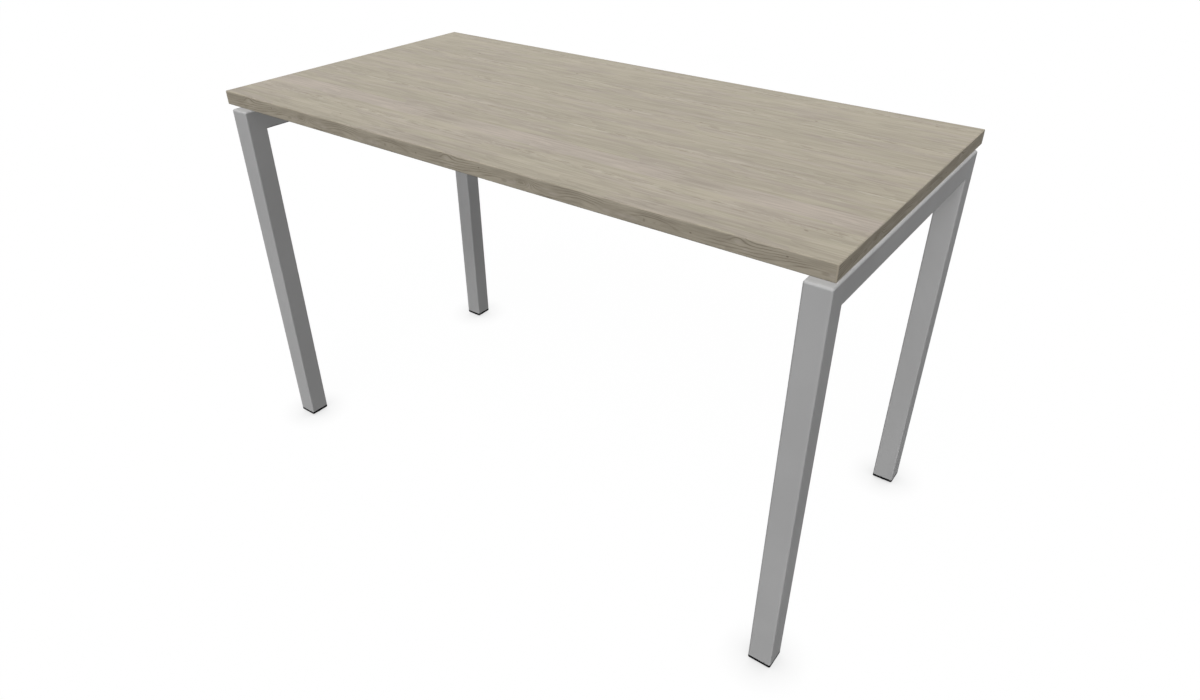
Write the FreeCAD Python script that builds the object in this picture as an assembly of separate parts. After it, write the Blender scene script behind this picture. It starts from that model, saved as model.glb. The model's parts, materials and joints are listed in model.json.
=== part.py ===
import FreeCAD, Part
import math
import os

# Office desk: a board with banded edges stands on spacers over two welded end frames of square tube.
# Two beams bolted between the frames keep them apart. Each leg ends in a plug with a levelling foot.
# Millimetres. The origin is on the floor under the middle of the top. X runs along the desk,
# Y from its front to its back and Z up.

# Desktop
top_length = 1200.0
top_depth = 600.0
top_thickness = 25.0
desk_height = 738.0
band_thickness = 2.0
band_rounding = min(1.8, 0.9 * band_thickness)

# End frames
tube_size = 40.0
tube_wall = 2.0
tube_rounding = 3.0
mitre_dressing = 0.4        # how much rounder the dressed mitre corner is than the tube's own edges
side_inset = 2.5            # from the side of the top to the frame
front_inset = 3.0           # from the front and the back of the top to the frame

# Beams between the frames
beam_size = 30.0
beam_wall = 2.0
beam_rounding = 3.0
beam_spacing = 300.0        # between the centre lines of the two beams
plate_length = 80.0
plate_thickness = 4.0
plate_rounding = 5.0
plate_bolt_spacing = 56.0

# Spacers and screws under the desktop
top_gap = 10.0              # clear height between the crossbars and the desktop
spacer_diameter = 24.0
crossbar_screw_setback = 26.0   # from the inside of a leg to the nearest crossbar screw
beam_screw_spacing = 500.0
insert_diameter = 10.0
insert_length = 13.0
insert_seat_depth = 14.0
screw_engagement = 11.0     # length of screw inside the desktop

# M6 hardware
screw_diameter = 6.0
screw_head_diameter = 10.5
screw_head_height = 3.3
screw_head_rounding = 2.4
screw_key = 4.0             # across the flats of the hexagon socket
screw_key_depth = 2.0
washer_diameter = 12.0
washer_thickness = 1.6
bolt_length = 16.0
rivet_nut_diameter = 9.0
rivet_nut_length = 15.0
rivet_collar_diameter = 12.0
rivet_collar_length = 4.0

# Leg plugs and levelling feet
plug_rim = 5.5
plug_rim_rounding = 0.4
plug_depth = 24.0           # inside the tube
plug_wall = 2.5
plug_floor = 4.0
boss_diameter = 20.0
boss_height = 22.0
nut_flats = 13.0
nut_height = 6.5
stem_diameter = 8.0
stem_spare = 3.6            # of the stem above its nut with the foot screwed right out
stem_head_diameter = 14.0
stem_head_height = 1.8
stem_key = 5.0
stem_key_depth = 4.0
pad_diameter = 30.0
pad_height = 4.7
pad_floor = 1.2
pad_chamfer = 0.8
foot_travel = 12.0

# Clearances
screw_clearance = 0.3       # all round a screw in its hole
thread_clearance = 0.05     # all round a screw in its nut or insert
seat_clearance = 0.05       # all round an insert, a rivet nut or a nut in its seat
plug_clearance = 0.2        # between a plug and the inside of its tube
stem_clearance = 0.4        # all round the stem in its plug
swivel_clearance = 0.1      # over and under the stem's head in its pad
key_clearance = 0.6         # all round the corners of the hexagon key in the pad's hole
pad_clearance = 0.3         # between a pad and its plug when the foot is screwed right in

# Levels and positions that follow from the sizes above
plug_z = pad_height + pad_clearance
leg_z = plug_z + plug_rim
board_z = desk_height - top_thickness
frame_z = board_z - top_gap
frame_x = top_length / 2 - side_inset
frame_y = top_depth / 2 - front_inset
tube_x = frame_x - tube_size / 2
leg_y = frame_y - tube_size / 2
inner_x = frame_x - tube_size
beam_axis_z = frame_z - tube_size / 2
beam_top_z = beam_axis_z + beam_size / 2
beam_y = beam_spacing / 2
crossbar_screw_y = frame_y - tube_size - crossbar_screw_setback
beam_screw_x = beam_screw_spacing / 2
stem_z = pad_floor + swivel_clearance
stem_end_z = leg_z + boss_height + foot_travel + stem_spare
SIDES = {"left": -1, "right": 1}
ENDS = {"front": -1, "rear": 1}

vector = FreeCAD.Vector


def box(low, high):
    size = [b - a for a, b in zip(low, high)]
    return Part.makeBox(*size, vector(*low))


def cylinder(diameter, start, length, direction=(0, 0, 1)):
    return Part.makeCylinder(diameter / 2, length, vector(*start), vector(*direction))


def hexagon(flats, start, height):
    """Upright hexagonal prism, two of its flats facing along Y."""
    radius = flats / 2 / math.cos(math.pi / 6)
    corners = []
    for i in range(7):
        turn = math.pi / 3 * i
        corners.append(vector(start[0] + radius * math.cos(turn), start[1] + radius * math.sin(turn), start[2]))
    return Part.Face(Part.makePolygon(corners)).extrude(vector(0, 0, height))


def rounded_square(size_x, size_y, rounding, centre, z, height):
    """Upright prism with rounded upright edges."""
    x, y = centre
    low = (x - size_x / 2, y - size_y / 2, z)
    solid = box(low, (low[0] + size_x, low[1] + size_y, z + height))
    upright = [e for e in solid.Edges if abs(e.Vertexes[0].Z - e.Vertexes[1].Z) > height / 2]
    return solid.makeFillet(rounding, upright)


def turned(profile):
    """Solid turned about Z from a closed outline of radius and height."""
    points = [vector(r, 0, z) for r, z in profile]
    return Part.Face(Part.makePolygon(points + points[:1])).revolve(vector(0, 0, 0), vector(0, 0, 1), 360)


def placed(shape, position, turn_axis=(0, 0, 1), turn=0):
    """Copy of a shape that was made at the origin, turned and then moved."""
    copy = shape.copy()
    copy.Placement = FreeCAD.Placement(vector(*position), FreeCAD.Rotation(vector(*turn_axis), turn))
    return copy


def outline_face(points, x):
    """Face in a plane square to X from points of Y and Z."""
    corners = [vector(x, y, z) for y, z in points]
    return Part.Face(Part.makePolygon(corners + corners[:1]))


# Desktop

def rounded_slab():
    """The whole desktop with its outer edges rounded."""
    low = (-top_length / 2, -top_depth / 2, board_z)
    slab = box(low, (top_length / 2, top_depth / 2, desk_height))
    return slab.makeFillet(band_rounding, slab.Edges)


def insert_positions():
    crossbar = [(side * tube_x, end * crossbar_screw_y) for side in (-1, 1) for end in (-1, 1)]
    beam = [(side * beam_screw_x, end * beam_y) for side in (-1, 1) for end in (-1, 1)]
    return crossbar + beam


def desktop_nodes():
    core_x = top_length / 2 - band_thickness
    core_y = top_depth / 2 - band_thickness
    board = box((-core_x, -core_y, board_z), (core_x, core_y, desk_height))
    seat_diameter = insert_diameter + 2 * seat_clearance
    bore_diameter = screw_diameter + 2 * thread_clearance
    inserts = []
    for x, y in insert_positions():
        board = board.cut(cylinder(seat_diameter, (x, y, board_z), insert_seat_depth))
        sleeve = cylinder(insert_diameter, (x, y, board_z), insert_length)
        inserts.append(sleeve.cut(cylinder(bore_diameter, (x, y, board_z), insert_length)))
    nodes = {"desktop_board": board, "desktop_inserts": Part.makeCompound(inserts)}

    slab = rounded_slab()
    for name, side in SIDES.items():
        inner, outer = sorted((side * core_x, side * top_length / 2))
        region = box((inner, -top_depth / 2, board_z), (outer, top_depth / 2, desk_height))
        nodes[name + "_edge_band"] = slab.common(region)
    for name, end in ENDS.items():
        inner, outer = sorted((end * core_y, end * top_depth / 2))
        region = box((-core_x, inner, board_z), (core_x, outer, desk_height))
        nodes[name + "_edge_band"] = slab.common(region)
    return nodes


# End frames

def portal(x, inset, foot_z):
    """End frame's outline of two legs and a crossbar, taken in from the tube's outside by an inset."""
    y_out = frame_y - inset
    y_in = frame_y - tube_size + inset
    z_out = frame_z - inset
    z_in = frame_z - tube_size + inset
    outline = outline_face([
        (-y_out, foot_z), (-y_out, z_out), (y_out, z_out), (y_out, foot_z),
        (y_in, foot_z), (y_in, z_in), (-y_in, z_in), (-y_in, foot_z),
    ], x - tube_size / 2 + inset)
    solid = outline.extrude(vector(tube_size - 2 * inset, 0, 0))
    corners = []
    for edge in solid.Edges:
        first, last = [v.Point for v in edge.Vertexes]
        if abs(first.x - last.x) > tube_size / 4 and abs(first.z - z_out) < 0.01:
            corners.append(edge)
    edge_rounding = max(tube_rounding - inset, 0.4)
    solid = solid.makeFillet(edge_rounding + mitre_dressing, corners)
    lengthwise = []
    for edge in solid.Edges:
        first, last = [v.Point for v in edge.Vertexes]
        at_foot = abs(first.z - foot_z) < 0.01 and abs(last.z - foot_z) < 0.01
        if abs(first.x - last.x) < 0.01 and not at_foot:
            lengthwise.append(edge)
    return solid.makeFillet(edge_rounding, lengthwise)


def mitre_regions(x):
    """Space of the front leg, the crossbar and the rear leg, which meet on mitre planes."""
    reach = tube_size
    y_in = frame_y - tube_size
    z_in = frame_z - tube_size
    front = [(-y_in, -reach), (-y_in, z_in), (-y_in - 2 * reach, z_in + 2 * reach), (-y_in - 2 * reach, -reach)]
    rear = [(-y, z) for y, z in front]
    bar = [(-y_in, z_in), (y_in, z_in), (y_in + 2 * reach, z_in + 2 * reach), (-y_in - 2 * reach, z_in + 2 * reach)]
    start = x - tube_size
    length = vector(2 * tube_size, 0, 0)
    return {
        "front_leg": outline_face(front, start).extrude(length),
        "rear_leg": outline_face(rear, start).extrude(length),
        "crossbar": outline_face(bar, start).extrude(length),
    }


def rivet_nut_positions():
    """Y of each bolt through the beams' end plates."""
    return [end * beam_y + offset * plate_bolt_spacing / 2 for end in (-1, 1) for offset in (-1, 1)]


def frame_nodes():
    nodes = {}
    screw_hole = screw_diameter + 2 * screw_clearance
    rivet_hole = rivet_nut_diameter + 2 * seat_clearance
    for name, side in SIDES.items():
        x = side * tube_x
        tube = portal(x, 0, leg_z).cut(portal(x, tube_wall, leg_z - tube_wall))
        pieces = {piece: tube.common(region) for piece, region in mitre_regions(x).items()}
        bar = pieces["crossbar"]
        for end in (-1, 1):
            bar = bar.cut(cylinder(screw_hole, (x, end * crossbar_screw_y, frame_z - 2 * tube_size), 3 * tube_size))
        for y in rivet_nut_positions():
            start = (side * (inner_x - tube_wall), y, beam_axis_z)
            bar = bar.cut(cylinder(rivet_hole, start, 3 * tube_wall, (side, 0, 0)))
        pieces["crossbar"] = bar
        nodes.update({name + "_" + piece: shape for piece, shape in pieces.items()})
    return nodes


# Beams

def beam_nodes():
    nodes = {}
    half_length = inner_x - plate_thickness
    inside = beam_size - 2 * beam_wall
    inner_rounding = max(beam_rounding - beam_wall, 0.4)
    screw_hole = screw_diameter + 2 * screw_clearance
    for name, end in ENDS.items():
        outer = rounded_square(beam_size, beam_size, beam_rounding, (0, 0), -half_length, 2 * half_length)
        hollow = rounded_square(inside, inside, inner_rounding, (0, 0), -half_length, 2 * half_length)
        beam = placed(outer.cut(hollow), (0, end * beam_y, beam_axis_z), (0, 1, 0), 90)
        for x in (-beam_screw_x, beam_screw_x):
            beam = beam.cut(cylinder(screw_hole, (x, end * beam_y, beam_axis_z - beam_size), 2 * beam_size))
        nodes[name + "_beam"] = beam

        blank = rounded_square(beam_size, plate_length, plate_rounding, (0, 0), 0, plate_thickness)
        for offset in (-plate_bolt_spacing / 2, plate_bolt_spacing / 2):
            blank = blank.cut(cylinder(screw_hole, (0, offset, 0), plate_thickness))
        for side_name, side in SIDES.items():
            place = (side * half_length, end * beam_y, beam_axis_z)
            nodes[name + "_beam_" + side_name + "_plate"] = placed(blank, place, (0, 1, 0), side * 90)
    return nodes


# Hardware

def socket_screw(length):
    """Button-head screw standing on its head's seat at the origin, shank upwards."""
    head = cylinder(screw_head_diameter, (0, 0, -screw_head_height), screw_head_height)
    rim = [e for e in head.Edges if max(v.Z for v in e.Vertexes) < -screw_head_height / 2]
    head = head.makeFillet(screw_head_rounding, rim)
    key = hexagon(screw_key, (0, 0, -screw_head_height), screw_key_depth)
    return cylinder(screw_diameter, (0, 0, 0), length).fuse(head).removeSplitter().cut(key)


def rivet_nut():
    """Sleeve with its mouth at the origin and a pressed collar behind the tube wall."""
    sleeve = rivet_nut_diameter / 2
    collar = rivet_collar_diameter / 2
    bore = screw_diameter / 2 + thread_clearance
    collar_end = tube_wall + rivet_collar_length
    return turned([
        (bore, 0), (sleeve, 0), (sleeve, tube_wall), (collar, tube_wall),
        (collar, collar_end), (sleeve, collar_end), (sleeve, rivet_nut_length), (bore, rivet_nut_length),
    ])


def spacer(height):
    ring = cylinder(spacer_diameter, (0, 0, 0), height)
    return ring.cut(cylinder(screw_diameter + 2 * screw_clearance, (0, 0, 0), height))


def hardware_nodes():
    crossbar_places = [(s * tube_x, e * crossbar_screw_y) for s in (-1, 1) for e in (-1, 1)]
    beam_places = [(s * beam_screw_x, e * beam_y) for s in (-1, 1) for e in (-1, 1)]
    crossbar_seat = frame_z - tube_size - washer_thickness
    beam_seat = beam_axis_z - beam_size / 2 - washer_thickness
    screw_tip = board_z + screw_engagement

    washer = cylinder(washer_diameter, (0, 0, 0), washer_thickness)
    washer = washer.cut(cylinder(screw_diameter + 2 * screw_clearance, (0, 0, 0), washer_thickness))
    crossbar_screw = socket_screw(screw_tip - crossbar_seat)
    beam_screw = socket_screw(screw_tip - beam_seat)
    crossbar_spacer = spacer(top_gap)
    beam_spacer = spacer(board_z - beam_top_z)

    bolt = socket_screw(bolt_length)
    nut = rivet_nut()
    bolts = []
    nuts = []
    for side in (-1, 1):
        for y in rivet_nut_positions():
            bolts.append(placed(bolt, (side * (inner_x - plate_thickness), y, beam_axis_z), (0, 1, 0), side * 90))
            nuts.append(placed(nut, (side * inner_x, y, beam_axis_z), (0, 1, 0), side * 90))

    washers = [placed(washer, (x, y, crossbar_seat)) for x, y in crossbar_places]
    washers += [placed(washer, (x, y, beam_seat)) for x, y in beam_places]
    groups = {
        "crossbar_spacers": [placed(crossbar_spacer, (x, y, frame_z)) for x, y in crossbar_places],
        "crossbar_screws": [placed(crossbar_screw, (x, y, crossbar_seat)) for x, y in crossbar_places],
        "beam_spacers": [placed(beam_spacer, (x, y, beam_top_z)) for x, y in beam_places],
        "beam_screws": [placed(beam_screw, (x, y, beam_seat)) for x, y in beam_places],
        "screw_washers": washers,
        "beam_bolts": bolts,
        "beam_rivet_nuts": nuts,
    }
    return {name: Part.makeCompound(solids) for name, solids in groups.items()}


# Levelling feet, made at the origin with the floor at Z = 0

def plug():
    inside = tube_size - 2 * tube_wall - 2 * plug_clearance
    rim = rounded_square(tube_size, tube_size, tube_rounding, (0, 0), plug_z, plug_rim)
    lower = [e for e in rim.Edges if max(v.Z for v in e.Vertexes) < plug_z + 0.01]
    rim = rim.makeFillet(plug_rim_rounding, lower)
    inside_rounding = max(tube_rounding - tube_wall, 0.4)
    body = rounded_square(inside, inside, inside_rounding, (0, 0), leg_z, plug_depth)
    cup = inside - 2 * plug_wall
    cup_z = leg_z + plug_floor
    body = body.cut(rounded_square(cup, cup, inside_rounding, (0, 0), cup_z, plug_depth))
    boss = cylinder(boss_diameter, (0, 0, leg_z), boss_height)
    solid = rim.fuse([body, boss]).removeSplitter()
    nut_z = leg_z + boss_height - nut_height
    solid = solid.cut(hexagon(nut_flats + 2 * seat_clearance, (0, 0, nut_z), nut_height))
    return solid.cut(cylinder(stem_diameter + 2 * stem_clearance, (0, 0, plug_z), plug_rim + plug_depth))


def plug_nut():
    nut_z = leg_z + boss_height - nut_height
    bore = cylinder(stem_diameter + 2 * thread_clearance, (0, 0, nut_z), nut_height)
    return hexagon(nut_flats, (0, 0, nut_z), nut_height).cut(bore)


def foot_stem():
    head = cylinder(stem_head_diameter, (0, 0, stem_z), stem_head_height)
    shank = cylinder(stem_diameter, (0, 0, stem_z), stem_end_z - stem_z)
    return head.fuse(shank).removeSplitter().cut(hexagon(stem_key, (0, 0, stem_z), stem_key_depth))


def foot_pad():
    outer = pad_diameter / 2
    key_hole = stem_key / 2 / math.cos(math.pi / 6) + key_clearance
    socket = stem_head_diameter / 2 + thread_clearance
    socket_top = pad_floor + stem_head_height + 2 * swivel_clearance
    neck = stem_diameter / 2 + thread_clearance
    return turned([
        (key_hole, 0), (outer - pad_chamfer, 0), (outer, pad_chamfer), (outer, pad_height - pad_chamfer),
        (outer - pad_chamfer, pad_height), (neck, pad_height), (neck, socket_top), (socket, socket_top),
        (socket, pad_floor), (key_hole, pad_floor),
    ])


def foot_nodes():
    nodes = {}
    pieces = {"leg_plug": plug(), "plug_nut": plug_nut(), "foot_stem": foot_stem(), "foot_pad": foot_pad()}
    for side_name, side in SIDES.items():
        for end_name, end in ENDS.items():
            for piece, shape in pieces.items():
                name = side_name + "_" + end_name + "_" + piece
                nodes[name] = placed(shape, (side * tube_x, end * leg_y, 0))
    return nodes


os.makedirs("parts", exist_ok=True)
for make_nodes in (desktop_nodes, frame_nodes, beam_nodes, hardware_nodes, foot_nodes):
    for node, shape in make_nodes().items():
        shape.exportStep("parts/" + node + ".step")
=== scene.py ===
import json
import math
import bmesh
import bpy
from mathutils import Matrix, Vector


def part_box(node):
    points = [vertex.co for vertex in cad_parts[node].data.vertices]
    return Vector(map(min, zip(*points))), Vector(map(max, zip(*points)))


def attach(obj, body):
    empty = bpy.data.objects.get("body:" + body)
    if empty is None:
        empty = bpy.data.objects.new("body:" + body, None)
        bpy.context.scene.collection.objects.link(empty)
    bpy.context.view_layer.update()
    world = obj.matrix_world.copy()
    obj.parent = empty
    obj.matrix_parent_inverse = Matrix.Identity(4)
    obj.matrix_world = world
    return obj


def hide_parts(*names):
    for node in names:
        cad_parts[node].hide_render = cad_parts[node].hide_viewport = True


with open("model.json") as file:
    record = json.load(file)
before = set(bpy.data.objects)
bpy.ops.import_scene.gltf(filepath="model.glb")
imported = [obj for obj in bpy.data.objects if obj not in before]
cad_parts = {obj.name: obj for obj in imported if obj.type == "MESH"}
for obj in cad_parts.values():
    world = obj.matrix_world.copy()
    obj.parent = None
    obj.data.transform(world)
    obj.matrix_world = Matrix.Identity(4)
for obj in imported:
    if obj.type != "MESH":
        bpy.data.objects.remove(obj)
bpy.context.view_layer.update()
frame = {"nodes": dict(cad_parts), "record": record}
nodes = frame["nodes"]
print("frame loaded:", len(nodes), "CAD nodes")


class Wire:  # a node's socket that can stand in a Python expression
    def __init__(self, sheet, socket):
        self.sheet = sheet
        self.socket = socket

    def __add__(self, other):
        return self.sheet.calc("ADD", self, other)

    def __radd__(self, other):
        return self.sheet.calc("ADD", other, self)

    def __sub__(self, other):
        return self.sheet.calc("SUBTRACT", self, other)

    def __rsub__(self, other):
        return self.sheet.calc("SUBTRACT", other, self)

    def __mul__(self, other):
        return self.sheet.calc("MULTIPLY", self, other)

    def __rmul__(self, other):
        return self.sheet.calc("MULTIPLY", other, self)

    def __abs__(self):
        return self.sheet.calc("ABSOLUTE", self)

    def twin(self, output):  # another output of the same node
        return Wire(self.sheet, self.socket.node.outputs[output])

    def red(self):  # a random value for each of the scattered points
        return self.sheet.node("ShaderNodeSeparateColor", {}, {0: self.twin("Color")})


class Sheet:  # a node tree and the one method that adds to it
    def __init__(self, tree):
        self.tree = tree
        self.tree.nodes.clear()

    def node(self, kind, settings=None, inputs=None, output=0):
        made = self.tree.nodes.new(kind)
        for key, value in (settings or {}).items():
            setattr(made, key, value)
        for key, value in (inputs or {}).items():
            if isinstance(value, Wire):
                self.tree.links.new(value.socket, made.inputs[key])
            else:
                made.inputs[key].default_value = value
        return Wire(self, made.outputs[output] if made.outputs else None)

    def calc(self, operation, *values):
        return self.node("ShaderNodeMath", {"operation": operation}, dict(enumerate(values)))

    def ease(self, value, start, end):  # smooth step from 0 at start to 1 at end
        steps = {"Value": value, "From Min": start, "From Max": end}
        return self.node("ShaderNodeMapRange", {"interpolation_type": "SMOOTHSTEP"}, steps)


class Finish(Sheet):  # a material that reads the object's own coordinates
    def __init__(self, name):
        self.material = bpy.data.materials.new(name)
        self.material.use_nodes = True
        super().__init__(self.material.node_tree)

    def at(self):
        return self.node("ShaderNodeTexCoord", {}, {}, "Object")

    def axes(self, at):
        x = self.node("ShaderNodeSeparateXYZ", {}, {0: at})
        return x, x.twin(1), x.twin(2)

    def join(self, x, y, z=0.0):
        return self.node("ShaderNodeCombineXYZ", {}, {0: x, 1: y, 2: z})

    def stretch(self, at, scale):
        return self.node("ShaderNodeVectorMath", {"operation": "MULTIPLY"}, {0: at, 1: scale})

    def noise(self, at, detail=2.0, roughness=0.5, scale=1.0):
        inputs = {"Vector": at, "Scale": scale, "Detail": detail, "Roughness": roughness}
        return self.node("ShaderNodeTexNoise", {}, inputs)

    def spots(self, at, space="2D"):  # distance to the nearest of many scattered points
        inputs = {"Vector": at, "Scale": 1.0}
        return self.node("ShaderNodeTexVoronoi", {"voronoi_dimensions": space}, inputs)

    def fade(self, look, mark, value):  # how far a mark shows, by its two edges in the look
        return self.ease(value, *look["edges"][mark])

    def mix(self, factor, first, second):
        return self.node("ShaderNodeMix", {"data_type": "RGBA"}, {0: factor, 6: first, 7: second}, 2)

    def shade(self, color, factor):
        return self.node("ShaderNodeVectorMath", {"operation": "SCALE"}, {0: color, "Scale": factor})

    def bump(self, height, distance):
        inputs = {"Height": height, "Distance": distance, "Strength": 1.0}
        return self.node("ShaderNodeBump", {}, inputs)

    def surface(self, inputs):
        shader = self.node("ShaderNodeBsdfPrincipled", {}, inputs)
        self.node("ShaderNodeOutputMaterial", {}, {0: shader})
        return self.material


class Paper:  # a wood print that repeats along the grain, because it is read round a circle
    def __init__(self, f, along, grains):
        radius = boardLook["repeat"] / (2 * math.pi)
        angle = along * (1 / radius)
        self.f = f
        self.grains = grains
        self.circleX = f.calc("COSINE", angle) * radius
        self.circleY = f.calc("SINE", angle) * radius

    def point(self, name, across):
        fine, narrow, shift = self.grains[name][:3]
        return self.f.join(self.circleX * fine, self.circleY * fine, across * narrow + shift)

    def grain(self, name, across):
        return self.f.noise(self.point(name, across), *self.grains[name][3:])

    def flakes(self, name, across):  # one random value for each flake
        return self.f.spots(self.point(name, across), "3D").red()

    def dashes(self, name, across):  # short strokes along the grain, on a share of the flakes
        spots = self.f.spots(self.point(name, across), "3D")
        return self.f.fade(boardLook, "dash", spots) * self.f.fade(boardLook, name, spots.red())


boardLook = {
    "beige": (0.404, 0.364, 0.292, 1),
    "lilac": (0.410, 0.361, 0.311, 1),
    "olive": (0.390, 0.355, 0.281, 1),
    "hair": (0.490, 0.450, 0.372, 1),
    "vein": (0.290, 0.254, 0.200, 1),
    "knot": (0.190, 0.158, 0.120, 1),
    "repeat": 0.5,           # the printed paper repeats along the grain
    "pitch": 0.228,          # and its broad stripes repeat across it
    "start": 0.192,
    "stripes": [             # how far each stripe is from the start, its width and its change of tone
        (0.000, 0.046, -0.044), (0.046, 0.014, 0.036), (0.061, 0.022, -0.024),
        (0.083, 0.032, -0.050), (0.115, 0.020, -0.028), (0.137, 0.070, 0.024),
    ],
    "stripeEdge": 0.0008,    # half the distance over which a stripe comes in
    "stripeFade": 0.5,       # share of its width after which it fades out
    "curls": [0.273, 0.148, 0.046, -0.076, -0.224],     # rows of small curls, from the middle of the top
    "lilacRow": [(-0.198, -0.196), (-0.154, -0.158)],   # one paler row has a lilac cast: its two edges
    "lilacStart": -0.09,     # where its paper starts along the grain
    "lilacRuns": [           # and how it brightens and fades from there to the next repeat
        (0.00, 0.10, 0.60), (0.13, 0.18, -0.35), (0.35, 0.43, -0.75), (0.44, 0.50, 0.50),
    ],
    "lilacLeast": 0.5,       # share of the cast that is there all along the row
    "lilacTone": 0.010,      # how much paler the row is
    "lilacSwing": 0.13,      # and how much its tone follows the runs
    "sway": 0.003,           # how far the grain wanders sideways
    "frayed": 0.0016,        # how rough the stripes' edges are
    "rings": 7,              # growth rings over the range of the growth
    "grains": {              # how fine each is along and across the grain, a shift, detail and roughness
        "sway": (4, 4, 3.1),
        "frayed": (30, 170, 0.4),
        "cloud": (12, 26, 1.7, 3),
        "streak": (6, 190, 5.7, 3, 0.6),
        "fibre": (14, 560, 2.3, 3, 0.6),
        "growth": (4, 40, 0.9, 1),
        "flake": (11, 75, 4.2),
        "sliver": (16, 160, 8.1),
        "sparse": (10, 34, 6.6),
        "hairs": (6, 80, 9.4, 3),
        "veins": (8, 95, 4.9, 3),
        "curl": (70, 190, 3.3),
        "broken": (20, 60, 7.7),
        "paleDash": (15, 140, 2.9),
        "darkDash": (30, 290, 6.1),
    },
    "tones": {               # how much each of them changes the tone
        "streak": 0.44, "fibre": 0.46, "ring": 0.09, "cloud": 0.06,
        "growth": 0.08, "flake": -0.085, "sliver": 0.062,
    },
    "edges": {               # the values at which a mark starts to show and is full
        "olive": (0.32, 0.16),
        "lilac": (0.66, 0.78),
        "spell": (-0.4, 0.2),
        "hair": (0.018, 0.004),
        "hairWhere": (0.50, 0.60),
        "vein": (0.014, 0.003),
        "veinWhere": (0.50, 0.40),
        "curlRow": (0.011, 0.003),
        "lens": (0.52, 0.64),
        "stroke": (0.030, 0.006),
        "strokeWhere": (0.48, 0.56),
        "dash": (0.42, 0.24),
        "paleDash": (0.25, 0.27),
        "darkDash": (0.40, 0.42),
        "pip": (0.036, 0.014),
        "pipWhere": (0.80, 0.81),
    },
    "shares": {              # and how strongly it is drawn then
        "olive": 0.8, "lilac": 0.54, "hair": 0.50, "vein": 0.40, "lens": 0.35, "stroke": 0.50,
        "paleDash": 0.78, "darkDash": 0.80, "pip": 0.55,
    },
    "strokeAt": 0.46,        # value of the curl along which a stroke runs
    "pipGrid": (8, 6, 14),   # pips to a metre along, how the rows slant, and pips to a metre across
    "pipRough": 0.06,
    "streakRelief": 0.6,     # share of the streaks in the relief, the rest is fibres
    "relief": 0.00012,
    "roughness": 0.52,
    "uneven": 0.16,          # how much the roughness follows the relief
    "gloss": 0.05,
}


def boardPrint(f, x, y):  # pale elm: broad straight stripes, fine fibres and rows of small curls
    look = boardLook
    paper = Paper(f, x, look["grains"])

    def draw(mark, mask, under, ink):
        return f.mix(mask * look["shares"][mark], under, look[ink])

    sway = (paper.grain("sway", y) - 0.5) * look["sway"]
    across = y + sway + (paper.grain("frayed", y) - 0.5) * look["frayed"]
    marks = {name: paper.grain(name, across) for name in ("cloud", "streak", "fibre", "growth")}
    marks["ring"] = f.calc("FRACT", marks["growth"] * look["rings"])  # each ring darkens, then ends sharply
    marks["flake"] = paper.flakes("flake", across)
    marks["sliver"] = paper.flakes("sliver", across)

    below = f.calc("FLOORED_MODULO", look["start"] - across, look["pitch"])
    stripes = 0
    for start, width, tone in look["stripes"]:
        begun = f.ease(below, start - look["stripeEdge"], start + look["stripeEdge"])
        left = f.ease(below, start + width, start + width * look["stripeFade"])
        stripes = stripes + begun * left * tone
    level = 1 + stripes * (marks["cloud"] * 2)
    for name, tone in look["tones"].items():
        level = level + (marks[name] - 0.5) * tone

    frontEdge, rearEdge = look["lilacRow"]
    row = f.ease(across, *frontEdge) * f.ease(across, *rearEdge)
    run = f.calc("FLOORED_MODULO", x - look["lilacStart"], look["repeat"])
    spell = 0
    for start, end, change in look["lilacRuns"]:
        spell = spell + f.ease(run, start, end) * change
    cast = f.fade(look, "spell", spell) * (1 - look["lilacLeast"]) + look["lilacLeast"]
    lilacFlake = f.fade(look, "lilac", marks["flake"]) * look["shares"]["lilac"]
    color = draw("olive", f.fade(look, "olive", marks["flake"]), look["beige"], "olive")
    color = f.mix(f.calc("MAXIMUM", lilacFlake, row * cast), color, look["lilac"])
    color = f.shade(color, level + row * (spell * look["lilacSwing"] + look["lilacTone"]))

    sparse = paper.grain("sparse", across)
    hairs = f.fade(look, "hair", abs(paper.grain("hairs", across) - 0.5))
    veins = f.fade(look, "vein", abs(paper.grain("veins", across) - 0.5))
    color = draw("hair", hairs * f.fade(look, "hairWhere", sparse), color, "hair")
    color = draw("vein", veins * f.fade(look, "veinWhere", sparse), color, "vein")

    curl = paper.grain("curl", y)
    heart = 0
    for place in look["curls"]:
        heart = heart + f.fade(look, "curlRow", abs(y - place))
    stroke = f.fade(look, "stroke", abs(curl - look["strokeAt"])) * heart
    stroke = stroke * f.fade(look, "strokeWhere", paper.grain("broken", y))
    color = draw("lens", f.fade(look, "lens", curl) * heart, color, "hair")
    color = draw("stroke", stroke, color, "vein")
    color = draw("paleDash", paper.dashes("paleDash", y) * heart, color, "hair")
    color = draw("darkDash", paper.dashes("darkDash", y) * heart, color, "vein")

    lengthwise, slant, crosswise = look["pipGrid"]
    pips = f.spots(f.join(x * lengthwise + y * slant, y * crosswise))
    pip = f.fade(look, "pip", pips + (curl - 0.5) * look["pipRough"])
    color = draw("pip", pip * f.fade(look, "pipWhere", pips.red()), color, "knot")
    return color, marks


def grainBoard():
    look = boardLook
    f = Finish("grain board")
    x, y = f.axes(f.at())[:2]
    color, marks = boardPrint(f, x, y)
    relief = marks["streak"] * look["streakRelief"] + marks["fibre"] * (1 - look["streakRelief"])
    return f.surface({
        "Base Color": color,
        "Roughness": look["roughness"] + (relief - 0.5) * look["uneven"],
        "Specular IOR Level": look["gloss"],
        "Normal": f.bump(relief, look["relief"]),
    })


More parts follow.
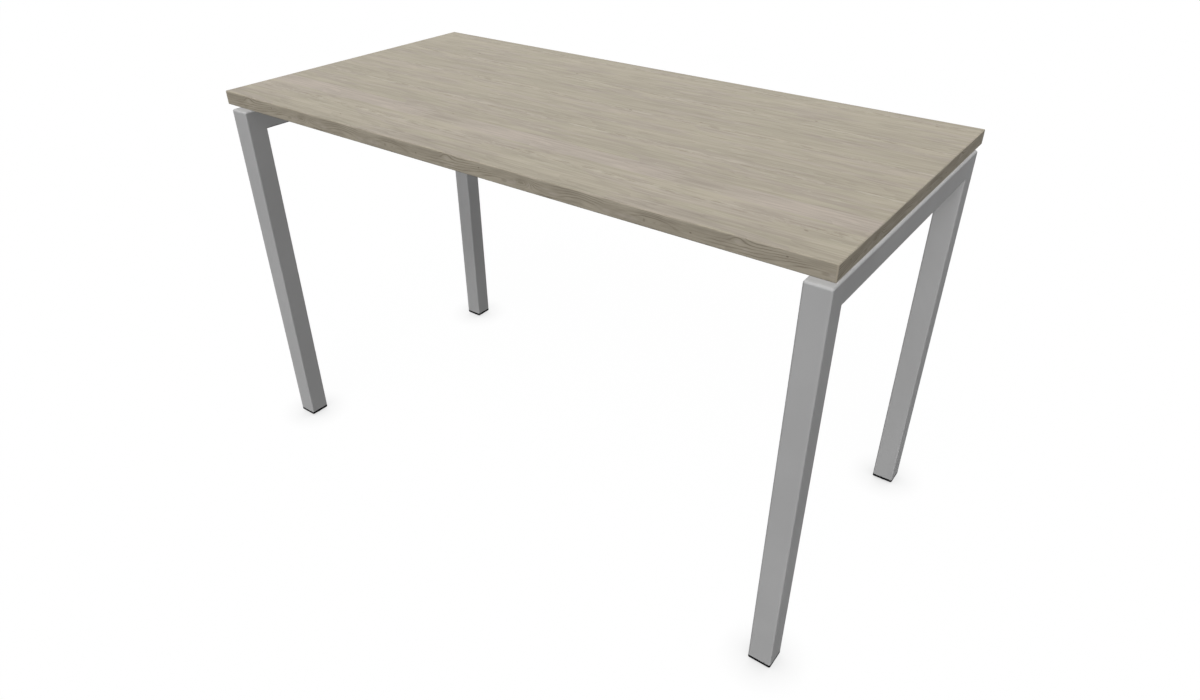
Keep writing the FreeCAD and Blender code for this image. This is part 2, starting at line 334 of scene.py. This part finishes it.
bandLook = {
    "brown": (0.378, 0.337, 0.270, 1),
    "pale": (0.438, 0.393, 0.316, 1),
    "line": (0.220, 0.191, 0.147, 1),
    "lilac": (0.500, 0.447, 0.392, 1),
    "knot": (0.120, 0.100, 0.074, 1),
    "end": (0.440, 0.390, 0.310, 1),     # plain paler colour, without grain, on the ends of the side bands
    "corner": 0.298,                     # the side bands' print starts at the front corner
    "lines": 230,                        # growth lines to a metre of height
    "lean": 2.5,                         # how many of them the grain wanders by
    "ripple": 0.5,                       # and how many by a finer ripple
    "lineFaint": 0.12,                   # how strongly a line is drawn at least
    "lineStrong": 0.56,                  # and how much more where lines are strong
    "grains": {                          # as for the board, across is the height here
        "wander": (9, 16, 4.3, 1),
        "ripple": (70, 140, 6.3),
        "strength": (16, 60, 9.3),
        "cloud": (14, 70, 11.3, 3),
        "fibre": (50, 700, 13.3, 3),
    },
    "eyes": [                            # along the print, height, half length, half height, lines lifted
        (0.119, 0.7265, 0.028, 0.0090, 3.6),
        (0.085, 0.7230, 0.090, 0.0170, 2.4),
        (0.232, 0.7260, 0.055, 0.0140, 1.3),
        (0.338, 0.7280, 0.080, 0.0150, 2.6),
        (0.470, 0.7355, 0.022, 0.0100, 1.4),
    ],
    "paleSpots": [                       # the same, with a strength
        (0.470, 0.7305, 0.008, 0.0035, 0.45), (0.481, 0.7220, 0.007, 0.0040, 0.40),
        (0.178, 0.7220, 0.012, 0.0040, 0.40), (0.270, 0.7205, 0.010, 0.0040, 0.40),
        (0.303, 0.7205, 0.024, 0.0050, 0.40), (0.096, 0.7215, 0.012, 0.0050, 0.35),
        (0.106, 0.7240, 0.004, 0.0050, 0.35), (0.133, 0.7240, 0.004, 0.0060, 0.35),
        (0.160, 0.7262, 0.022, 0.0012, 0.40),
    ],
    "darkSpots": [
        (0.402, 0.7240, 0.0022, 0.0014, 0.60), (0.036, 0.7295, 0.0024, 0.0014, 0.60),
        (0.331, 0.7230, 0.0025, 0.0035, 0.30), (0.345, 0.7310, 0.0600, 0.0040, 0.20),
        (0.086, 0.7215, 0.0080, 0.0030, 0.28), (0.119, 0.7275, 0.0160, 0.0060, 0.10),
        (0.365, 0.7195, 0.0300, 0.0060, 0.12), (0.458, 0.7180, 0.0080, 0.0040, 0.14),
    ],
    "edges": {
        "cloud": (0.36, 0.64),
        "line": (0.55, 1.0),
        "strength": (0.40, 0.60),
        "eye": (1, 0),
        "paleSpot": (1, 0.3),
        "darkSpot": (1, 0.4),
    },
    "endFrom": 0.2982,                   # distance from the middle at which an end starts
    "topFrom": 0.7372,                   # height from which the face print covers the arris
    "fibreTone": 0.40,                   # how much the fibres change the tone
    "relief": 0.00008,
    "roughness": 0.5,
    "uneven": 0.12,                      # how much the roughness follows the fibres
    "gloss": 0.01,
}


def grainBand(name, alongX):  # growth lines that bow over a few eyes, pale lenses and pips
    look = bandLook
    repeat = boardLook["repeat"]
    f = Finish(name)
    x, y, z = f.axes(f.at())
    along = x if alongX else y + look["corner"]
    paper = Paper(f, along, look["grains"])

    # 0 in the middle of a figure and 1 at its rim, once in each repeat
    def reach(middle, height, length, rise):
        past = f.calc("FLOORED_MODULO", along - (middle - repeat / 2), repeat)
        run = (past - repeat / 2) * (1 / length)
        climb = (z - height) * (1 / rise)
        return f.calc("SQRT", run * run + climb * climb)

    lift = 0
    for *figure, lines in look["eyes"]:
        lift = lift + f.fade(look, "eye", reach(*figure)) * lines
    phase = z * look["lines"] - lift + paper.grain("wander", z) * look["lean"]
    phase = phase + paper.grain("ripple", z) * look["ripple"]
    wave = f.calc("SINE", phase * (2 * math.pi)) * 0.5 + 0.5
    strength = f.fade(look, "strength", paper.grain("strength", z)) * look["lineStrong"] + look["lineFaint"]
    fibre = paper.grain("fibre", z)

    color = f.mix(f.fade(look, "cloud", paper.grain("cloud", z)), look["brown"], look["pale"])
    for *figure, share in look["paleSpots"]:
        color = f.mix(f.fade(look, "paleSpot", reach(*figure)) * share, color, look["lilac"])
    color = f.mix(f.fade(look, "line", wave) * strength, color, look["line"])
    for *figure, share in look["darkSpots"]:
        color = f.mix(f.fade(look, "darkSpot", reach(*figure)) * share, color, look["knot"])
    color = f.shade(color, 1 + (fibre - 0.5) * look["fibreTone"])
    if not alongX:
        color = f.mix(f.calc("GREATER_THAN", abs(y), look["endFrom"]), color, look["end"])
    face = boardPrint(f, x, y)[0]
    return f.surface({
        "Base Color": f.mix(f.calc("GREATER_THAN", z, look["topFrom"]), color, face),
        "Roughness": look["roughness"] + (fibre - 0.5) * look["uneven"],
        "Specular IOR Level": look["gloss"],
        "Normal": f.bump(wave * 0.5 + fibre * 0.5, look["relief"]),
    })


paintLook = {
    "silver": (0.500, 0.500, 0.501, 1),
    "dull": (0.480, 0.480, 0.481, 1),
    "peelFine": 620,
    "cloudFine": 9,
    "fleckFine": 4200,
    "edges": {"cloud": (0.35, 0.65)},
    "sparkle": 0.1,          # how much a fleck changes the tone
    "roughness": 0.46,
    "uneven": 0.1,           # how much the roughness follows the clouds
    "flecked": 0.06,         # and the flecks
    "gloss": 0.01,
    "peel": 0.00006,         # height of the orange peel
}


def silverPaint():  # satin powder coat with orange peel and a faint sparkle
    look = paintLook
    f = Finish("silver paint")
    at = f.at()
    peel = f.noise(at, scale=look["peelFine"])
    cloud = f.noise(at, detail=3, roughness=0.55, scale=look["cloudFine"])
    fleck = f.noise(at, detail=0, scale=look["fleckFine"])
    color = f.mix(f.fade(look, "cloud", cloud), look["silver"], look["dull"])
    roughness = look["roughness"] + (cloud - 0.5) * look["uneven"]
    return f.surface({
        "Base Color": f.shade(color, 1 + (fleck - 0.5) * look["sparkle"]),
        "Roughness": roughness + (fleck - 0.5) * look["flecked"],
        "Specular IOR Level": look["gloss"],
        "Normal": f.bump(peel, look["peel"]),
    })


plasticLook = {
    "black": (0.012, 0.012, 0.013, 1),
    "worn": (0.024, 0.024, 0.025, 1),
    "grainFine": 1500,
    "scuffFine": (60, 60, 160),
    "edges": {"scuff": (0.5, 0.75)},
    "roughness": 0.48,
    "uneven": 0.2,           # how much the roughness follows the scuffs
    "gloss": 0.01,
    "spark": 0.00005,        # depth of the mould's spark-eroded texture
}


def blackPlastic():  # moulded with a fine matt texture, a little greyer where it rubs
    look = plasticLook
    f = Finish("black plastic")
    at = f.at()
    grain = f.noise(at, detail=3, roughness=0.6, scale=look["grainFine"])
    scuff = f.noise(f.stretch(at, look["scuffFine"]), detail=3, roughness=0.6)
    return f.surface({
        "Base Color": f.mix(f.fade(look, "scuff", scuff), look["black"], look["worn"]),
        "Roughness": look["roughness"] + (scuff - 0.5) * look["uneven"],
        "Specular IOR Level": look["gloss"],
        "Normal": f.bump(grain, look["spark"]),
    })


zincLook = {
    "bright": (0.640, 0.650, 0.670, 1),
    "blue": (0.560, 0.590, 0.640, 1),
    "bloomFine": 140,
    "ringsFine": (90, 90, 6000),
    "edges": {"bloom": (0.4, 0.65)},
    "roughness": 0.30,
    "uneven": 0.2,           # how much the roughness follows the bloom
    "turned": 0.00002,       # depth of the turning marks
}


def zincSteel():  # bright zinc with a faint blue bloom and fine turning marks
    look = zincLook
    f = Finish("zinc steel")
    at = f.at()
    bloom = f.noise(at, detail=3, scale=look["bloomFine"])
    rings = f.noise(f.stretch(at, look["ringsFine"]))
    return f.surface({
        "Base Color": f.mix(f.fade(look, "bloom", bloom), look["bright"], look["blue"]),
        "Metallic": 1.0,
        "Roughness": look["roughness"] + (bloom - 0.5) * look["uneven"],
        "Normal": f.bump(rings, look["turned"]),
    })


brassLook = {
    "brass": (0.720, 0.560, 0.270, 1),
    "tarnish": (0.480, 0.350, 0.170, 1),
    "tarnishFine": 260,
    "ringsFine": (90, 90, 5000),
    "edges": {"tarnish": (0.45, 0.7)},
    "roughness": 0.34,
    "uneven": 0.3,           # how much the roughness follows the tarnish
    "turned": 0.00003,       # depth of the turning marks
}


def brassInsert():  # turned brass with a little tarnish
    look = brassLook
    f = Finish("brass insert")
    at = f.at()
    tarnish = f.noise(at, detail=3, roughness=0.6, scale=look["tarnishFine"])
    rings = f.noise(f.stretch(at, look["ringsFine"]))
    return f.surface({
        "Base Color": f.mix(f.fade(look, "tarnish", tarnish), look["brass"], look["tarnish"]),
        "Metallic": 1.0,
        "Roughness": look["roughness"] + (tarnish - 0.5) * look["uneven"],
        "Normal": f.bump(rings, look["turned"]),
    })


finishes = {
    "grain_board": grainBoard(),
    "silver_paint": silverPaint(),
    "black_plastic": blackPlastic(),
    "zinc_steel": zincSteel(),
    "brass_insert": brassInsert(),
}
frontBand = grainBand("front and rear band", True)
sideBand = grainBand("side band", False)
bands = {"front": frontBand, "rear": frontBand, "left": sideBand, "right": sideBand}
for part in frame["record"]["subparts"]:
    node = nodes[part["node"]]
    slot = part["material_slot"]
    side = part["node"].split("_")[0]
    node.data.materials.clear()
    node.data.materials.append(bands[side] if slot == "grain_band" else finishes[slot])
print("finishes on every CAD node")


stemLook = {                 # metres
    "shank": 0.0040,         # radius over the thread
    "pitch": 0.00125,
    "depth": 0.0006,
    "flank": 2.6,            # how steep the thread's flanks are, in depths to one pitch
    "crest": 0.15,           # and what its flat crest takes off them, in depths
    "head": 0.0018,
    "key": 0.0025,           # half the hexagon key's width across its flats
    "keyDeep": 0.004,
    "edge": 0.0003,          # broken edges
    "around": 36,
    "rows": 6,               # rings to one turn of the thread
    "sharp": 35,             # degrees between faces from which an edge is sharp
}


def threadedStem(foot):  # the foot's screw: hexagon socket below, thin round head, rolled thread to the tip
    look = stemLook
    node = foot + "_foot_stem"
    low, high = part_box(node)
    middle = ((low[0] + high[0]) / 2, (low[1] + high[1]) / 2)
    rim = (high[0] - low[0]) / 2
    top = low[2] + look["head"]
    core = look["shank"] - look["depth"]
    edge = look["edge"]

    def circle(radius):
        return lambda angle, z: radius

    def hexagon(angle, z):
        return look["key"] / math.cos((angle + math.pi / 6) % (math.pi / 3) - math.pi / 6)

    def thread(angle, z):
        turn = ((z - top) / look["pitch"] - angle / (2 * math.pi)) % 1
        groove = abs(turn - 0.5) * look["flank"] - look["crest"]
        return look["shank"] - look["depth"] * min(1, max(0, groove))

    start, end = top + look["pitch"], high[2] - look["pitch"]
    count = round((end - start) / look["pitch"] * look["rows"])
    rings = [(low[2] + look["keyDeep"], hexagon), (low[2], hexagon)]
    rings += [(low[2], circle(rim - edge)), (low[2] + edge, circle(rim))]
    rings += [(top - edge, circle(rim)), (top, circle(rim - edge)), (top, circle(core))]
    rings += [(start + (end - start) * k / count, thread) for k in range(count + 1)]
    rings += [(high[2], circle(core - edge))]

    made = bmesh.new()
    loops = []
    for z, radius in rings:
        loop = []
        for k in range(look["around"]):
            angle = 2 * math.pi * k / look["around"]
            r = radius(angle, z)
            x = middle[0] + r * math.cos(angle)
            y = middle[1] + r * math.sin(angle)
            loop.append(made.verts.new((x, y, z)))
        loops.append(loop)
    for lower, upper in zip(loops, loops[1:]):
        for k in range(look["around"]):
            made.faces.new((lower[k - 1], lower[k], upper[k], upper[k - 1]))
    made.faces.new(loops[0][::-1])
    made.faces.new(loops[-1])
    bmesh.ops.recalc_face_normals(made, faces=made.faces)
    mesh = bpy.data.meshes.new(foot + "_threaded_stem")
    made.to_mesh(mesh)
    made.free()
    for face in mesh.polygons:
        face.use_smooth = True
    mesh.set_sharp_from_angle(angle=math.radians(look["sharp"]))
    mesh.materials.append(finishes["zinc_steel"])
    stem = bpy.data.objects.new(foot + "_threaded_stem", mesh)
    bpy.context.scene.collection.objects.link(stem)
    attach(stem, foot + "_stem")
    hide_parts(node)


for foot in ("left_front", "left_rear", "right_front", "right_rear"):
    threadedStem(foot)
print("threaded stems made")


weldLook = {                 # metres
    "radius": 0.0022,
    "ripple": 0.16,          # how much the bead swells at each ripple, as a share of its radius
    "step": 0.0017,          # from one ripple to the next
    "fine": 0.0003,          # distance between the bead's rings
    "around": 12,
    "inset": 0.003,          # from the beam's upper and lower edges
}


def weldTree():  # a rippled bead along every edge of the mesh it is put on
    tree = bpy.data.node_groups.new("weld beads", "GeometryNodeTree")
    sockets = {
        "Runs": "NodeSocketGeometry", "Radius": "NodeSocketFloat", "Ripple": "NodeSocketFloat",
        "Step": "NodeSocketFloat", "Fine": "NodeSocketFloat", "Around": "NodeSocketInt",
        "Paint": "NodeSocketMaterial",
    }
    for name, kind in sockets.items():
        tree.interface.new_socket(name, in_out="INPUT", socket_type=kind)
    tree.interface.new_socket("Beads", in_out="OUTPUT", socket_type="NodeSocketGeometry")
    sheet = Sheet(tree)
    given = sheet.node("NodeGroupInput", {}, {}, "Runs")
    lines = sheet.node("GeometryNodeMeshToCurve", {}, {"Mesh": given})
    spacing = {"Curve": lines, "Length": given.twin("Fine")}
    lines = sheet.node("GeometryNodeResampleCurve", {"mode": "LENGTH"}, spacing)
    place = sheet.node("GeometryNodeSplineParameter", {}, {}, "Length")
    wave = abs(sheet.calc("SINE", sheet.calc("DIVIDE", place, given.twin("Step")) * math.pi))
    swell = 1 - given.twin("Ripple") + wave * given.twin("Ripple")
    section = {"Resolution": given.twin("Around"), "Radius": given.twin("Radius")}
    ring = sheet.node("GeometryNodeCurvePrimitiveCircle", {"mode": "RADIUS"}, section)
    sweep = {"Curve": lines, "Profile Curve": ring, "Scale": swell, "Fill Caps": True}
    bead = sheet.node("GeometryNodeCurveToMesh", {}, sweep)
    bead = sheet.node("GeometryNodeRealizeInstances", {}, {0: bead})
    bead = sheet.node("GeometryNodeSetMaterial", {}, {"Geometry": bead, "Material": given.twin("Paint")})
    sheet.node("NodeGroupOutput", {}, {"Beads": bead})
    return tree


def weldBeads():  # where the sides of the two beams meet their end plates
    look = weldLook
    points = []
    edges = []
    for beam in ("front_beam", "rear_beam"):
        low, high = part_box(beam)
        for x in (low[0], high[0]):
            for y in (low[1], high[1]):
                edges.append((len(points), len(points) + 1))
                points += [(x, y, low[2] + look["inset"]), (x, y, high[2] - look["inset"])]
    runs = bpy.data.meshes.new("weld_runs")
    runs.from_pydata(points, edges, [])
    holder = bpy.data.objects.new("weld_runs", runs)
    bpy.context.scene.collection.objects.link(holder)
    beads = holder.modifiers.new("beads", "NODES")
    beads.node_group = weldTree()
    values = {"paint": finishes["silver_paint"], **look}
    for item in beads.node_group.interface.items_tree:
        if item.in_out == "INPUT" and item.name.lower() in values:
            beads[item.identifier] = values[item.name.lower()]
    evaluated = holder.evaluated_get(bpy.context.evaluated_depsgraph_get())
    mesh = bpy.data.meshes.new_from_object(evaluated)
    mesh.name = "beam_welds"
    bpy.data.objects.remove(holder)
    welds = bpy.data.objects.new("beam_welds", mesh)
    bpy.context.scene.collection.objects.link(welds)
    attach(welds, "desk")


weldBeads()
print("weld beads made")


floorLook = {
    "white": (1, 1, 1, 1),
    "dark": (0, 0, 0, 1),
    "pale": (0.12, 0.12, 0.12, 1),       # what the floor throws back at the desk
    "shadow": 0.03,                      # share of the desk's cast shadow that shows on the white
    "contact": 0.34,                     # how much darker the white is where a foot hides all light
    "reach": 0.060,                      # how far from a foot that shows
    "samples": 16,
    "half": 30.0,                        # half its width
}


def raysThatShow(sheet):  # 1 for rays that show the background: seen, mirrored or seen through
    rays = sheet.node("ShaderNodeLightPath", {}, {}, "Is Camera Ray")
    mirrored = sheet.calc("MAXIMUM", rays, rays.twin("Is Glossy Ray"))
    return sheet.calc("MAXIMUM", mirrored, rays.twin("Is Transmission Ray"))


def whiteFloor():
    look = floorLook
    f = Finish("white floor")

    def blend(factor, first, second):
        return f.node("ShaderNodeMixShader", {}, {0: factor, 1: first, 2: second})

    settings = {"samples": look["samples"]}
    light = f.node("ShaderNodeAmbientOcclusion", settings, {"Distance": look["reach"]}, "AO")
    pale = f.node("ShaderNodeBsdfDiffuse", {}, {"Color": look["pale"]})
    paper = f.node("ShaderNodeBsdfDiffuse", {}, {"Color": look["white"]})
    glow = f.node("ShaderNodeEmission", {}, {"Color": look["white"], "Strength": 1.0})
    dark = f.node("ShaderNodeEmission", {}, {"Color": look["dark"], "Strength": 1.0})
    shown = blend(look["shadow"], glow, paper)
    # painted contact shade: near the feet the glowing white is mixed towards black by the ambient occlusion
    shown = blend((1 - light) * look["contact"], shown, dark)
    mixed = blend(raysThatShow(f), pale, shown)
    clear = f.node("ShaderNodeBsdfTransparent")
    below = f.node("ShaderNodeNewGeometry", {}, {}, "Backfacing")  # from below, the desk's underside shows
    f.node("ShaderNodeOutputMaterial", {}, {0: blend(below, mixed, clear)})
    half = look["half"]
    corners = [(-half, -half, 0), (half, -half, 0), (half, half, 0), (-half, half, 0)]
    mesh = bpy.data.meshes.new("floor")
    mesh.from_pydata(corners, [], [(0, 1, 2, 3)])
    mesh.materials.append(f.material)
    floor = bpy.data.objects.new("floor", mesh)
    bpy.context.scene.collection.objects.link(floor)


skyLook = {
    "white": (1, 1, 1, 1),
    "soft": 0.12,            # strength of the light from all round
    "seen": 1.0,             # and of the white that rays see
}


def softSky():
    look = skyLook
    world = bpy.data.worlds.new("studio")
    world.use_nodes = True
    sheet = Sheet(world.node_tree)
    soft = sheet.node("ShaderNodeBackground", {}, {"Color": look["white"], "Strength": look["soft"]})
    white = sheet.node("ShaderNodeBackground", {}, {"Color": look["white"], "Strength": look["seen"]})
    mixed = sheet.node("ShaderNodeMixShader", {}, {0: raysThatShow(sheet), 1: soft, 2: white})
    sheet.node("ShaderNodeOutputWorld", {}, {0: mixed})
    bpy.context.scene.world = world


desktop = ["desktop_board", "front_edge_band", "rear_edge_band", "left_edge_band", "right_edge_band"]
keyPast = desktop + ["left_crossbar", "right_crossbar", "rear_beam", "right_front_leg"]
lamps = {                    # bearing from the front towards the right, height and softness are in degrees
    "key": {"power": 2.54, "bearing": 21, "height": 55, "softness": 60, "glossy": True, "past": keyPast},
    "front": {"power": 0.56, "bearing": 20, "height": 50, "softness": 25, "glossy": True, "past": []},
    "fill": {"power": 1.50, "bearing": 220, "height": 5, "softness": 60, "glossy": False, "past": desktop},
}


def hangLamps():
    for name, lamp in lamps.items():
        light = bpy.data.lights.new(name, "SUN")
        light.energy = lamp["power"]
        light.angle = math.radians(lamp["softness"])
        holder = bpy.data.objects.new(name, light)
        holder.rotation_euler = (math.radians(90 - lamp["height"]), 0, math.radians(lamp["bearing"]))
        holder.visible_glossy = lamp["glossy"]
        if lamp["past"]:     # these pieces cast no shadow from this lamp, so its light reaches the gap
            past = bpy.data.collections.new(name + " shines past")
            for node in lamp["past"]:
                past.objects.link(nodes[node])
            for entry in past.collection_objects:
                entry.light_linking.link_state = "EXCLUDE"
            holder.light_linking.blocker_collection = past
        bpy.context.scene.collection.objects.link(holder)


cameraLook = {
    "place": (0.8904, -1.1645, 1.1813),
    "turn": 36.125,          # degrees to the left of straight ahead
    "down": 32.768,          # degrees below the horizon
    "lens": 25.36,           # millimetres
    "sensor": 36,
}


def photoCamera():
    look = cameraLook
    camera = bpy.data.cameras.new("camera")
    camera.sensor_width = look["sensor"]
    camera.lens = look["lens"]
    holder = bpy.data.objects.new("camera", camera)
    holder.location = look["place"]
    holder.rotation_euler = (math.radians(90 - look["down"]), 0, math.radians(look["turn"]))
    bpy.context.scene.collection.objects.link(holder)
    bpy.context.scene.camera = holder


whiteFloor()
softSky()
hangLamps()
photoCamera()
bpy.context.scene.view_settings.view_transform = "Standard"
print("floor, light and camera set")
